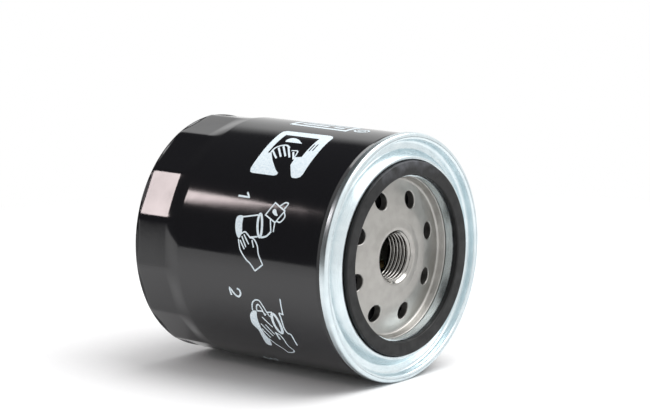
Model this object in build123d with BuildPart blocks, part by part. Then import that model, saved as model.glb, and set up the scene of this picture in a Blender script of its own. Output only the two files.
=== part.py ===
"""Spin-on oil filter, lying on its side.

Frame: millimetres, +X along the filter's axis towards its open end, +Z up.
Origin: centre of the threaded hole's mouth, on the base plate's outer face.
Turned outlines are drawn as (x, radius) in the XZ plane. Angles about the axis
are counted in degrees from +Y towards +Z.
"""

from build123d import *

import math
import os

# ---------------------------------------------------------------- driving dimensions

# Can: drawn steel cup with wrench flats at its closed end
CAN_RADIUS = 45.8
CAN_SHEET = 0.4
CAN_NECK_LENGTH = 1.4  # taper just behind the seam
CAN_LENGTH = 93.6  # from the seam's front to the closed end's edge
CAN_CROWN = 0.7  # the closed end is a shallow cone round a flat middle
CAN_CROWN_RADIUS = 30.0
CAN_END_BEND = 2.0
FLAT_COUNT = 15
FLAT_RIM = 0.4  # round wall left between the closed end's edge and the flats
FLAT_RIM_RUNOUT = 1.0  # length over which a flat rises to that rim
FLAT_LENGTH = 13.8
FLAT_RUNOUT = 6.4  # length over which a flat fades into the round wall in front
FLAT_CUT_MARGIN = 0.5  # how far the cut for a flat starts outside the can
FLAT_CORNER_DROP = 0.12  # how far the corners between flats lie below the round wall
FLAT_FIRST_CORNER = 21.0

# Double seam that joins lid and can
SEAM_STAND = 0.7  # how far the seam stands out from the can
SEAM_FRONT_X = 4.0
SEAM_LENGTH = 3.25
SEAM_PLAY = 0.02  # gap between folded layers
SEAM_SHOULDER = 1.0
SEAM_CHUCK_SHOULDER = 0.7
CAN_HOOK_SHOULDER = 0.55
COVER_HOOK = 2.0
HOOK_BEND = 0.38
NECK_BEND = 0.3
FLANGE_BEND = 0.25
BODY_HOOK = 1.9
COMPOUND_INSET = 0.04  # between the compound and the layers that it fills

# Seaming lid: channel, rim, gasket groove and upstanding lip
LID_SHEET = 0.45
LID_BEND = 0.45
CHANNEL_FLOOR_X = 0.4
CHANNEL_BEND = 1.6
CHANNEL_SLOPE_WIDTH = 2.6
SLOPE_BEND = 0.9
RIM_TOP_X = 4.1
RIM_WIDTH = 0.9
RIM_BEND = 0.38
LIP_TOP_X = 3.4
LIP_PLAY = 0.15  # between gasket and lip

# Sealing gasket, square section
GASKET_INNER_RADIUS = 31.0
GASKET_WIDTH = 5.3
GASKET_FACE_X = 5.5
GASKET_PLAY = 0.15
GASKET_EDGE = 0.5

# Base plate: dished, with inlet holes and a threaded hub
PLATE_THICKNESS = 3.0
PLATE_EDGE_GAP = 1.5  # from the chuck wall to the plate's edge
DISH_MOUTH_GAP = 0.2  # from the lip's bore to the dish's mouth
DISH_DRAFT = 1.0  # how much narrower the dish is at its foot
DISH_DEPTH = 2.95
DISH_WALL = 2.4
DISH_FOOT_LAND = 2.8  # nearly flat ring inside the dish's foot
DISH_FOOT_RISE = 0.2
DISH_HUB_LAND = 4.4  # nearly flat ring round the hub
DISH_HUB_FALL = 0.28
HUB_WALL = 3.075
HUB_NOSE_WIDTH = 2.075
HUB_NOSE_SLOPE = 2.6
HUB_NOSE_HEIGHT = 0.57
HUB_LENGTH = 11.0
THREAD_RADIUS = 9.525  # 3/4 inch, 16 turns to the inch
INLET_COUNT = 8
INLET_RADIUS = 3.2
INLET_PITCH_RADIUS = 22.5
INLET_FIRST_ANGLE = 62.2

# Anti-drain valve: rubber collar with a conical flap behind the inlet holes
VALVE_THICKNESS = 1.2
VALVE_COLLAR_WALL = 1.6
VALVE_COLLAR_LENGTH = 4.5
VALVE_FLANGE_GAP = 1.275  # from the thread to the flange's bore
VALVE_SEAT_LAND = 0.9  # from an inlet hole's edge to the flap's seat
VALVE_SEAT_WIDTH = 1.6
VALVE_PLAY = 0.05
VALVE_REST_GAP = 0.1

# Filter element: end caps, perforated centre tube, pleated paper, bonds and clip
ELEMENT_GAP = 4.9  # oil space between element and can
ELEMENT_PLAY = 0.02  # between parts that are bonded or pressed together
CAP_SHEET = 0.5
CAP_RIM = 3.0
CAP_BEND = 0.5
BOND_THICKNESS = 1.6
TUBE_RADIUS = 15.2
TUBE_WALL = 0.6
TUBE_HOLE_RADIUS = 2.2
TUBE_HOLE_RINGS = 9
TUBE_HOLES_PER_RING = 6
PLEAT_COUNT = 44
PLEAT_TIP_GAP = 1.2  # from the end caps' rims to the pleats
PLEAT_ROOT_PLAY = 1.0  # from the centre tube to the pleats
PLEAT_TIP_WIDTH = 2.2
PLEAT_ROOT_GAP = 0.4
PAPER_THICKNESS = 0.6
CLIP_SHEET = 0.3
CLIP_DEPTH = 5.0

# Bypass valve in the upper end cap
PORT_RADIUS = 6.0
SEAT_WIDTH = 2.0
POPPET_THICKNESS = 1.0
SEAL_THICKNESS = 1.0
SEAL_REST_GAP = 0.05
PIN_RADIUS = 1.6
PIN_HEAD_RADIUS = 2.6
PIN_HEAD_THICKNESS = 0.8
PIN_PLAY = 0.1
CAGE_LENGTH = 14.0
CAGE_SHEET = 0.8
CAGE_ROOM = 1.6  # oil space round the poppet
CAGE_PLAY = 0.3  # between the cage's flange and the centre tube
CAGE_WINDOW_COUNT = 3
CAGE_WINDOW_WIDTH = 8.0
CAGE_WINDOW_MARGIN = 3.0
SPRING_RADIUS = 5.2
SPRING_WIRE_RADIUS = 0.45
SPRING_TURNS = 4

# Hold-down leaf spring between the element and the closed end
LEAF_SHEET = 0.8
LEAF_WIDTH = 14.0
LEAF_HEIGHT = 15.0  # between closed end and element
LEAF_FOOT_SPAN = 60.0
LEAF_FOOT_LENGTH = 5.0
LEAF_CROWN_SPAN = 20.0
LEAF_BEND = 2.0
LEAF_HOLE_RADIUS = 4.0
LEAF_PLAY = 0.05

# ---------------------------------------------------------------- derived places

# Seam layers, from the outside inwards: lid, can hook, lid hook, can neck, chuck wall
seam_radius = CAN_RADIUS + SEAM_STAND
can_hook_outer = seam_radius - LID_SHEET - SEAM_PLAY
can_hook_mid = can_hook_outer - CAN_SHEET / 2
lid_hook_mid = can_hook_outer - CAN_SHEET - SEAM_PLAY - LID_SHEET / 2
neck_outer = lid_hook_mid - LID_SHEET / 2 - SEAM_PLAY
neck_mid = neck_outer - CAN_SHEET / 2
chuck_mid = neck_outer - CAN_SHEET - SEAM_PLAY - LID_SHEET / 2
seam_back_x = SEAM_FRONT_X - SEAM_LENGTH
can_flange_x = SEAM_FRONT_X - LID_SHEET - SEAM_PLAY
can_end_x = SEAM_FRONT_X - CAN_LENGTH
neck_end_x = seam_back_x - CAN_SHEET
neck_start_x = neck_end_x - CAN_NECK_LENGTH

# Lid and gasket
lid_floor_mid_x = CHANNEL_FLOOR_X - LID_SHEET / 2
lid_back_x = CHANNEL_FLOOR_X - LID_SHEET
gasket_outer_radius = GASKET_INNER_RADIUS + GASKET_WIDTH
groove_wall_mid = gasket_outer_radius + GASKET_PLAY + LID_SHEET / 2
channel_inner_radius = groove_wall_mid + RIM_WIDTH + CHANNEL_SLOPE_WIDTH
lip_bore = GASKET_INNER_RADIUS - LIP_PLAY - LID_SHEET
lip_mid = lip_bore + LID_SHEET / 2

# Base plate
plate_face_x = lid_back_x - ELEMENT_PLAY
plate_back_x = plate_face_x - PLATE_THICKNESS
plate_radius = chuck_mid - PLATE_EDGE_GAP
dish_mouth_radius = lip_bore - DISH_MOUTH_GAP
dish_foot_radius = dish_mouth_radius - DISH_DRAFT
hub_radius = THREAD_RADIUS + HUB_WALL
hub_nose_radius = THREAD_RADIUS + HUB_NOSE_WIDTH
hub_flat_radius = hub_nose_radius + HUB_NOSE_SLOPE
dish_profile = [  # (x, radius) down the dished face, from the hub's nose to the dish's foot
    (-HUB_NOSE_HEIGHT, hub_flat_radius),
    (-HUB_NOSE_HEIGHT - DISH_HUB_FALL, hub_flat_radius + DISH_HUB_LAND),
    (-DISH_DEPTH + DISH_FOOT_RISE, dish_foot_radius - DISH_FOOT_LAND),
    (-DISH_DEPTH, dish_foot_radius),
]
dish_back = [(x - PLATE_THICKNESS, radius) for x, radius in reversed(dish_profile)]


def dish_x(radius):
    """Where the dished face lies at a radius."""
    for (inner_x, inner_radius), (outer_x, outer_radius) in zip(dish_profile, dish_profile[1:]):
        if radius <= outer_radius:
            share = (radius - inner_radius) / (outer_radius - inner_radius)
            return inner_x + share * (outer_x - inner_x)
    return -DISH_DEPTH


# Anti-drain valve and element stack, from the hub towards the closed end
valve_bore = hub_radius + VALVE_PLAY
valve_flange_bore = THREAD_RADIUS + VALVE_FLANGE_GAP
valve_seat_radius = INLET_PITCH_RADIUS + INLET_RADIUS + VALVE_SEAT_LAND
valve_lip_radius = valve_seat_radius + VALVE_SEAT_WIDTH
collar_radius = valve_bore + VALVE_COLLAR_WALL
flange_front_x = -HUB_LENGTH - VALVE_PLAY
flange_back_x = flange_front_x - VALVE_THICKNESS
collar_front_x = flange_front_x + VALVE_COLLAR_LENGTH
lower_cap_x = flange_back_x - ELEMENT_PLAY
lower_bond_x = lower_cap_x - CAP_SHEET - ELEMENT_PLAY
pleat_front_x = lower_bond_x - BOND_THICKNESS - ELEMENT_PLAY
upper_cap_x = can_end_x + CAN_SHEET - CAN_CROWN + LEAF_HEIGHT
cap_radius = CAN_RADIUS - CAN_SHEET - ELEMENT_GAP
pleat_outer_radius = cap_radius - CAP_SHEET - PLEAT_TIP_GAP
pleat_inner_radius = TUBE_RADIUS + PLEAT_ROOT_PLAY
upper_bond_x = upper_cap_x + CAP_SHEET + ELEMENT_PLAY
pleat_back_x = upper_bond_x + BOND_THICKNESS + ELEMENT_PLAY
bond_bore = TUBE_RADIUS + ELEMENT_PLAY
bond_radius = cap_radius - CAP_BEND - CAP_SHEET / 2

# Bypass valve, from its seat towards the open end
poppet_radius = PORT_RADIUS + SEAT_WIDTH
cage_radius = poppet_radius + CAGE_ROOM + CAGE_SHEET
cage_flange_radius = TUBE_RADIUS - TUBE_WALL - CAGE_PLAY
seat_x = upper_cap_x + CAP_SHEET
seal_x = seat_x + SEAL_REST_GAP
poppet_x = seal_x + SEAL_THICKNESS + ELEMENT_PLAY
poppet_front_x = poppet_x + POPPET_THICKNESS
cage_flange_mid_x = seat_x + ELEMENT_PLAY + CAGE_SHEET / 2
cage_end_x = seat_x + CAGE_LENGTH
cage_inside_x = cage_end_x - CAGE_SHEET

# Hold-down spring
leaf_foot_mid_x = upper_cap_x - LEAF_PLAY - LEAF_SHEET / 2
leaf_crown_mid_x = can_end_x + CAN_SHEET - CAN_CROWN + LEAF_PLAY + LEAF_SHEET / 2


def bent_sheet(centre_line, bends, sheet):
    """Draws the closed outline of a bent sheet in the open BuildLine block.

    centre_line holds the corners along the sheet's middle, and bends the bend radius
    there, one for each inner corner.
    """
    corners = [Vector(*corner) for corner in centre_line]
    runs = [(end - start).normalized() for start, end in zip(corners, corners[1:])]
    faces = []
    for side in (1, -1):
        face_corners = []
        face_bends = []
        for index, corner in enumerate(corners):
            before = runs[max(index - 1, 0)]
            after = runs[min(index, len(runs) - 1)]
            square = Vector(-before.Y - after.Y, before.X + after.X)
            face_corners.append(corner + square * (side * sheet / square.dot(square)))
            if 0 < index < len(corners) - 1:
                turn = before.X * after.Y - before.Y * after.X
                face_bends.append(bends[index - 1] - side * math.copysign(sheet / 2, turn))
        faces.append(FilletPolyline(*face_corners, radius=face_bends))
    Line(faces[0] @ 0, faces[1] @ 0)
    Line(faces[0] @ 1, faces[1] @ 1)


def write(builder, name):
    """Labels a finished piece and writes its STEP file."""
    builder.part.label = name
    export_step(builder.part, f"parts/{name}.step")


os.makedirs("parts", exist_ok=True)

# ---------------------------------------------------------------- can


def cup(sheet):
    """Solid cup with wrench flats, its surface lying one sheet inside the can's outside."""
    radius = CAN_RADIUS - sheet
    end_x = can_end_x + sheet
    apothem = (CAN_RADIUS - FLAT_CORNER_DROP) * math.cos(math.pi / FLAT_COUNT) - sheet
    cut_radius = radius + FLAT_CUT_MARGIN
    with BuildPart() as body:
        with BuildSketch(Plane.XZ) as outline:
            Polygon(
                (end_x - CAN_CROWN, 0),
                (neck_start_x, 0),
                (neck_start_x, radius),
                (end_x, radius),
                (end_x - CAN_CROWN, CAN_CROWN_RADIUS),
                align=None,
            )
            end_corner = outline.vertices().group_by(Axis.Y)[-1].sort_by(Axis.X)[0]
            fillet(end_corner, CAN_END_BEND - sheet)
        revolve(axis=Axis.X)
        flat_back_x = can_end_x + FLAT_RIM + FLAT_RIM_RUNOUT
        flat_front_x = flat_back_x + FLAT_LENGTH
        cut_half_width = cut_radius * math.tan(math.pi / FLAT_COUNT)
        cut_share = (cut_radius - apothem) / (radius - apothem)
        with BuildSketch(Plane.XZ) as flat:
            Polygon(
                (flat_back_x - FLAT_RIM_RUNOUT * cut_share, cut_radius),
                (flat_back_x, apothem),
                (flat_front_x, apothem),
                (flat_front_x + FLAT_RUNOUT * cut_share, cut_radius),
                align=None,
            )
        flat_cut = extrude(flat.sketch, cut_half_width, both=True, mode=Mode.PRIVATE)
        for index in range(FLAT_COUNT):
            middle = FLAT_FIRST_CORNER + 360 / FLAT_COUNT * (index + 0.5)
            add(flat_cut.rotate(Axis.X, middle - 90), mode=Mode.SUBTRACT)
    return body.part


can_outside = cup(0)
can_inside = cup(CAN_SHEET)

with BuildPart() as can:
    add(can_outside)
    add(can_inside, mode=Mode.SUBTRACT)
    with BuildSketch(Plane.XZ):
        with BuildLine():
            bent_sheet(
                [
                    (neck_start_x - CAN_SHEET, CAN_RADIUS - CAN_SHEET / 2),
                    (neck_start_x, CAN_RADIUS - CAN_SHEET / 2),
                    (neck_end_x, neck_mid),
                    (can_flange_x - CAN_SHEET / 2, neck_mid),
                    (can_flange_x - CAN_SHEET / 2, can_hook_mid),
                    (can_flange_x - BODY_HOOK, can_hook_mid),
                ],
                [NECK_BEND, NECK_BEND, FLANGE_BEND, CAN_HOOK_SHOULDER],
                CAN_SHEET,
            )
        make_face()
    revolve(axis=Axis.X)
write(can, "can")

# ---------------------------------------------------------------- seaming lid and its seals

with BuildPart() as seaming_lid:
    with BuildSketch(Plane.XZ):
        with BuildLine():
            bent_sheet(
                [
                    (seam_back_x + COVER_HOOK, lid_hook_mid),
                    (seam_back_x + LID_SHEET / 2, lid_hook_mid),
                    (seam_back_x + LID_SHEET / 2, seam_radius - LID_SHEET / 2),
                    (SEAM_FRONT_X - LID_SHEET / 2, seam_radius - LID_SHEET / 2),
                    (SEAM_FRONT_X - LID_SHEET / 2, chuck_mid),
                    (lid_floor_mid_x, chuck_mid),
                    (lid_floor_mid_x, channel_inner_radius),
                    (RIM_TOP_X - LID_SHEET / 2, groove_wall_mid + RIM_WIDTH),
                    (RIM_TOP_X - LID_SHEET / 2, groove_wall_mid),
                    (lid_floor_mid_x, groove_wall_mid),
                    (lid_floor_mid_x, lip_mid),
                    (LIP_TOP_X, lip_mid),
                ],
                [
                    HOOK_BEND,
                    HOOK_BEND,
                    SEAM_SHOULDER,
                    SEAM_CHUCK_SHOULDER,
                    CHANNEL_BEND,
                    SLOPE_BEND,
                    RIM_BEND,
                    RIM_BEND,
                    LID_BEND,
                    LID_BEND,
                ],
                LID_SHEET,
            )
        make_face()
    revolve(axis=Axis.X)
write(seaming_lid, "seaming_lid")

with BuildPart() as seam_compound:
    compound_front_x = can_flange_x - BODY_HOOK - SEAM_PLAY
    compound_back_x = seam_back_x + LID_SHEET + COMPOUND_INSET
    compound_outer = can_hook_outer - COMPOUND_INSET
    compound_inner = can_hook_outer - CAN_SHEET + COMPOUND_INSET
    with BuildSketch(Plane.XZ):
        Polygon(
            (compound_back_x, compound_inner),
            (compound_back_x, compound_outer),
            (compound_front_x, compound_outer),
            (compound_front_x, compound_inner),
            align=None,
        )
    revolve(axis=Axis.X)
write(seam_compound, "seam_compound")

with BuildPart() as sealing_gasket:
    with BuildSketch(Plane.XZ) as section:
        Polygon(
            (CHANNEL_FLOOR_X + ELEMENT_PLAY, GASKET_INNER_RADIUS),
            (GASKET_FACE_X, GASKET_INNER_RADIUS),
            (GASKET_FACE_X, gasket_outer_radius),
            (CHANNEL_FLOOR_X + ELEMENT_PLAY, gasket_outer_radius),
            align=None,
        )
        fillet(section.vertices(), GASKET_EDGE)
    revolve(axis=Axis.X)
write(sealing_gasket, "sealing_gasket")

# ---------------------------------------------------------------- base plate

with BuildPart() as base_plate:
    with BuildSketch(Plane.XZ):
        Polygon(
            (0, THREAD_RADIUS),
            (0, hub_nose_radius),
            *dish_profile,
            (plate_face_x, dish_mouth_radius),
            (plate_face_x, plate_radius),
            (plate_back_x, plate_radius),
            (plate_back_x, dish_mouth_radius + DISH_WALL),
            (-DISH_DEPTH - PLATE_THICKNESS, dish_foot_radius + DISH_WALL),
            *dish_back,
            (-HUB_NOSE_HEIGHT - PLATE_THICKNESS, hub_radius),
            (-HUB_LENGTH, hub_radius),
            (-HUB_LENGTH, THREAD_RADIUS),
            align=None,
        )
    revolve(axis=Axis.X)
    with BuildSketch(Plane.YZ):
        with PolarLocations(INLET_PITCH_RADIUS, INLET_COUNT, start_angle=INLET_FIRST_ANGLE):
            Circle(INLET_RADIUS)
    extrude(amount=-HUB_LENGTH, mode=Mode.SUBTRACT)
write(base_plate, "base_plate")

# ---------------------------------------------------------------- anti-drain valve

with BuildPart() as anti_drain_valve:
    lip_front_x = dish_x(valve_lip_radius) - PLATE_THICKNESS - VALVE_REST_GAP
    seat_front_x = dish_x(valve_seat_radius) - PLATE_THICKNESS - VALVE_REST_GAP
    with BuildSketch(Plane.XZ):
        Polygon(
            (flange_front_x, valve_flange_bore),
            (flange_front_x, valve_bore),
            (collar_front_x, valve_bore),
            (collar_front_x, collar_radius),
            (seat_front_x, valve_seat_radius),
            (lip_front_x, valve_lip_radius),
            (lip_front_x - VALVE_THICKNESS, valve_lip_radius),
            (seat_front_x - VALVE_THICKNESS, valve_seat_radius),
            (collar_front_x - VALVE_THICKNESS, collar_radius),
            (flange_back_x, collar_radius),
            (flange_back_x, valve_flange_bore),
            align=None,
        )
    revolve(axis=Axis.X)
write(anti_drain_valve, "anti_drain_valve")

# ---------------------------------------------------------------- filter element

with BuildPart() as lower_end_cap:
    with BuildSketch(Plane.XZ):
        with BuildLine():
            bent_sheet(
                [
                    (lower_cap_x - CAP_SHEET / 2, valve_flange_bore),
                    (lower_cap_x - CAP_SHEET / 2, cap_radius - CAP_SHEET / 2),
                    (lower_cap_x - CAP_RIM, cap_radius - CAP_SHEET / 2),
                ],
                [CAP_BEND],
                CAP_SHEET,
            )
        make_face()
    revolve(axis=Axis.X)
write(lower_end_cap, "lower_end_cap")

with BuildPart() as upper_end_cap:
    with BuildSketch(Plane.XZ):
        with BuildLine():
            bent_sheet(
                [
                    (upper_cap_x + CAP_SHEET / 2, PORT_RADIUS),
                    (upper_cap_x + CAP_SHEET / 2, cap_radius - CAP_SHEET / 2),
                    (upper_cap_x + CAP_RIM, cap_radius - CAP_SHEET / 2),
                ],
                [CAP_BEND],
                CAP_SHEET,
            )
        make_face()
    revolve(axis=Axis.X)
write(upper_end_cap, "upper_end_cap")

with BuildPart() as lower_bond:
    with BuildSketch(Plane.YZ.offset(lower_bond_x)):
        Circle(bond_radius)
        Circle(bond_bore, mode=Mode.SUBTRACT)
    extrude(amount=-BOND_THICKNESS)
write(lower_bond, "lower_bond")

with BuildPart() as upper_bond:
    with BuildSketch(Plane.YZ.offset(upper_bond_x)):
        Circle(bond_radius)
        Circle(bond_bore, mode=Mode.SUBTRACT)
    extrude(amount=BOND_THICKNESS)
write(upper_bond, "upper_bond")

with BuildPart() as centre_tube:
    with BuildSketch(Plane.YZ.offset(lower_bond_x)):
        Circle(TUBE_RADIUS)
        Circle(TUBE_RADIUS - TUBE_WALL, mode=Mode.SUBTRACT)
    extrude(amount=upper_bond_x - lower_bond_x)
    ring_spacing = (pleat_front_x - pleat_back_x) / TUBE_HOLE_RINGS
    tube_middle_x = (pleat_front_x + pleat_back_x) / 2
    pair_count = TUBE_HOLES_PER_RING // 2
    for index in range(pair_count):
        across = Plane(origin=(tube_middle_x, 0, 0), x_dir=(1, 0, 0), z_dir=(0, 0, 1))
        with BuildSketch(across.rotated((index * 180 / pair_count, 0, 0))):
            with GridLocations(ring_spacing, 1, TUBE_HOLE_RINGS, 1):
                Circle(TUBE_HOLE_RADIUS)
        extrude(amount=TUBE_RADIUS + TUBE_WALL, both=True, mode=Mode.SUBTRACT)
write(centre_tube, "centre_tube")


def pleat_outline(tip_radius, tip_half_width, root_radius, root_half_gap):
    """Closed star outline with flat tips and roots, one tip for each pleat."""
    points = []
    for index in range(PLEAT_COUNT):
        middle = 2 * math.pi * index / PLEAT_COUNT
        tip_angle = math.asin(tip_half_width / tip_radius)
        root_angle = math.pi / PLEAT_COUNT - math.asin(root_half_gap / root_radius)
        for radius, offset_angle in (
            (root_radius, -root_angle),
            (tip_radius, -tip_angle),
            (tip_radius, tip_angle),
            (root_radius, root_angle),
        ):
            angle = middle + offset_angle
            points.append((radius * math.cos(angle), radius * math.sin(angle)))
    return points


with BuildPart() as pleated_media:
    with BuildSketch(Plane.YZ.offset(pleat_front_x)):
        Polygon(
            *pleat_outline(
                pleat_outer_radius,
                PLEAT_TIP_WIDTH / 2,
                pleat_inner_radius + PAPER_THICKNESS,
                PLEAT_ROOT_GAP / 2,
            ),
            align=None,
        )
        Polygon(
            *pleat_outline(
                pleat_outer_radius - PAPER_THICKNESS,
                PLEAT_TIP_WIDTH / 2 - PAPER_THICKNESS,
                pleat_inner_radius,
                PLEAT_ROOT_GAP / 2 + PAPER_THICKNESS,
            ),
            align=None,
            mode=Mode.SUBTRACT,
        )
    extrude(amount=pleat_back_x - pleat_front_x)
write(pleated_media, "pleated_media")

with BuildPart() as media_seam_clip:
    root_half_width = (pleat_inner_radius + PAPER_THICKNESS) * math.pi / PLEAT_COUNT
    root_half_width -= PLEAT_ROOT_GAP / 2
    pleat_half_width = max(PLEAT_TIP_WIDTH / 2, root_half_width)
    clip_inner_width = 2 * (pleat_half_width + ELEMENT_PLAY)
    clip_inner_radius = pleat_outer_radius + ELEMENT_PLAY
    with BuildSketch(Plane.YZ.offset(pleat_front_x)):
        with Locations((clip_inner_radius - CLIP_DEPTH, 0)):
            Rectangle(
                CLIP_DEPTH + CLIP_SHEET,
                clip_inner_width + 2 * CLIP_SHEET,
                align=(Align.MIN, Align.CENTER),
            )
            Rectangle(
                CLIP_DEPTH,
                clip_inner_width,
                align=(Align.MIN, Align.CENTER),
                mode=Mode.SUBTRACT,
            )
    extrude(amount=pleat_back_x - pleat_front_x)
write(media_seam_clip, "media_seam_clip")

# ---------------------------------------------------------------- bypass valve

with BuildPart() as bypass_cage:
    with BuildSketch(Plane.XZ):
        with BuildLine():
            bent_sheet(
                [
                    (cage_flange_mid_x, cage_flange_radius),
                    (cage_flange_mid_x, cage_radius - CAGE_SHEET / 2),
                    (cage_end_x - CAGE_SHEET / 2, cage_radius - CAGE_SHEET / 2),
                    (cage_end_x - CAGE_SHEET / 2, PIN_RADIUS + PIN_PLAY),
                ],
                [CAGE_SHEET, CAGE_SHEET],
                CAGE_SHEET,
            )
        make_face()
    revolve(axis=Axis.X)
    window_length = CAGE_LENGTH - 2 * CAGE_WINDOW_MARGIN
    for index in range(CAGE_WINDOW_COUNT):
        side = Plane(origin=(seat_x + CAGE_LENGTH / 2, 0, 0), x_dir=(1, 0, 0), z_dir=(0, 0, 1))
        with BuildSketch(side.rotated((index * 360 / CAGE_WINDOW_COUNT, 0, 0))):
            Rectangle(window_length, CAGE_WINDOW_WIDTH)
        extrude(amount=cage_flange_radius, mode=Mode.SUBTRACT)
write(bypass_cage, "bypass_cage")

with BuildPart() as bypass_valve_disc:
    with BuildSketch(Plane.YZ.offset(poppet_x)):
        Circle(poppet_radius)
        Circle(PIN_RADIUS + ELEMENT_PLAY, mode=Mode.SUBTRACT)
    extrude(amount=POPPET_THICKNESS)
write(bypass_valve_disc, "bypass_valve_disc")

with BuildPart() as bypass_seal:
    with BuildSketch(Plane.YZ.offset(seal_x)):
        Circle(poppet_radius)
        Circle(PIN_HEAD_RADIUS + PIN_PLAY, mode=Mode.SUBTRACT)
    extrude(amount=SEAL_THICKNESS)
write(bypass_seal, "bypass_seal")

with BuildPart() as bypass_guide_pin:
    with BuildSketch(Plane.YZ.offset(poppet_x - ELEMENT_PLAY)):
        Circle(PIN_HEAD_RADIUS)
    extrude(amount=-PIN_HEAD_THICKNESS)
    with BuildSketch(Plane.YZ.offset(poppet_x - ELEMENT_PLAY)):
        Circle(PIN_RADIUS)
    extrude(amount=CAGE_LENGTH)
write(bypass_guide_pin, "bypass_guide_pin")

with BuildPart() as bypass_spring:
    spring_start_x = poppet_front_x + SPRING_WIRE_RADIUS + PIN_PLAY
    spring_height = cage_inside_x - PIN_PLAY - SPRING_WIRE_RADIUS - spring_start_x
    with BuildLine():
        coil = Helix(
            pitch=spring_height / SPRING_TURNS,
            height=spring_height,
            radius=SPRING_RADIUS,
            center=(spring_start_x, 0, 0),
            direction=(1, 0, 0),
        )
    with BuildSketch(Plane(origin=coil @ 0, z_dir=coil % 0)):
        Circle(SPRING_WIRE_RADIUS)
    sweep(path=coil, is_frenet=True)
write(bypass_spring, "bypass_spring")

# ---------------------------------------------------------------- hold-down spring

with BuildPart() as hold_down_spring:
    foot_end = LEAF_FOOT_SPAN / 2
    foot_bend = foot_end - LEAF_FOOT_LENGTH
    crown_bend = LEAF_CROWN_SPAN / 2
    with BuildSketch(Plane.XZ):
        with BuildLine():
            bent_sheet(
                [
                    (leaf_foot_mid_x, foot_end),
                    (leaf_foot_mid_x, foot_bend),
                    (leaf_crown_mid_x, crown_bend),
                    (leaf_crown_mid_x, -crown_bend),
                    (leaf_foot_mid_x, -foot_bend),
                    (leaf_foot_mid_x, -foot_end),
                ],
                [LEAF_BEND] * 4,
                LEAF_SHEET,
            )
        make_face()
    extrude(amount=LEAF_WIDTH / 2, both=True)
    with BuildSketch(Plane.YZ.offset(leaf_crown_mid_x)):
        Circle(LEAF_HOLE_RADIUS)
    extrude(amount=LEAF_SHEET, both=True, mode=Mode.SUBTRACT)
write(hold_down_spring, "hold_down_spring")
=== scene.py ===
import math

import bmesh
import bpy
from mathutils import Matrix, Vector, geometry


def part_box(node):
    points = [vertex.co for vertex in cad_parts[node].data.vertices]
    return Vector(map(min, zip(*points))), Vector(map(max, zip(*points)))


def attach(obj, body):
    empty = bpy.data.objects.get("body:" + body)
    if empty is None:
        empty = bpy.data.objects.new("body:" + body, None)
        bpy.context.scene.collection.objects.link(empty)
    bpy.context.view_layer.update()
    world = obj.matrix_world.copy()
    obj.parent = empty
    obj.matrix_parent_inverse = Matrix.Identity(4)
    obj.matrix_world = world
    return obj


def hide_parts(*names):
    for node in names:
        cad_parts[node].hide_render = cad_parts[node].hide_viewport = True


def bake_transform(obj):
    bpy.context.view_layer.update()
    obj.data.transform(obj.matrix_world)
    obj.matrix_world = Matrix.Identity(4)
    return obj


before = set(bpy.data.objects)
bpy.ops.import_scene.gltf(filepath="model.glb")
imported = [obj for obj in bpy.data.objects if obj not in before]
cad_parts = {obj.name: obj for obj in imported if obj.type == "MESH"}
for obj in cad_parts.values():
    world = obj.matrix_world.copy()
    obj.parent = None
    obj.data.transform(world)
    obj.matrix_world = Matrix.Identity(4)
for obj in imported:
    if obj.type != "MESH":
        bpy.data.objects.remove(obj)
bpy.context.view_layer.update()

# Spin-on oil filter lying on its side. Sizes are written in millimetres and
# scaled to metres where a mesh is made. +X runs out of the open end, +Z is up.
MM = 0.001
COLUMNS = 360
ARC_STEP = math.radians(14)

# Can
CAN_RADIUS = 45.8
CAN_SHEET = 0.4
CAN_END_X = -89.6
CAN_CROWN = 0.7
CAN_CROWN_RADIUS = 30.0
CROWN_START_RADIUS = 42.6
CAN_END_BEND = 2.0
NECK_RADIUS = 45.14
NECK_START_X = -1.05
NECK_END_X = 0.35
NECK_LIP_X = 3.0
FLAT_COUNT = 15
FLAT_APOTHEM = 44.68
FLAT_RIM_X = -89.3
FLAT_BACK_X = -88.0
FLAT_FRONT_X = -74.4
FLAT_RUNOUT = 7.0
FLAT_FIRST_CORNER = math.radians(21.0)
FLAT_BLEND = 0.1

# Seaming lid
LID_SHEET = 0.45
SEAM_RADIUS = 46.5
SEAM_FRONT_X = 4.0
SEAM_BACK_X = 0.75
CHUCK_RADIUS = 44.045
LID_HOOK_RADIUS = 45.385
LID_FLOOR_X = 0.175
HOOK_TOP_X = 2.75
RIM_TOP_X = 4.1
RIM_WIDTH = 0.9
RIM_SKIRT = 2.6
GROOVE_WALL_RADIUS = 36.675
LIP_RADIUS = 30.625
LIP_TOP_X = 3.4
LIP_KINKS = (8, 79, -31, -92)
KINK_DEPTH = 0.16
KINK_SPREAD = 2.2
KINK_FOOT_X = 1.0
KINK_RISE = 1.5

# Gasket
GASKET_INNER_RADIUS = 31.0
GASKET_OUTER_RADIUS = 36.3
GASKET_BACK_X = 0.42
GASKET_FACE_X = 5.5
GASKET_EDGE = 0.6

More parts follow.
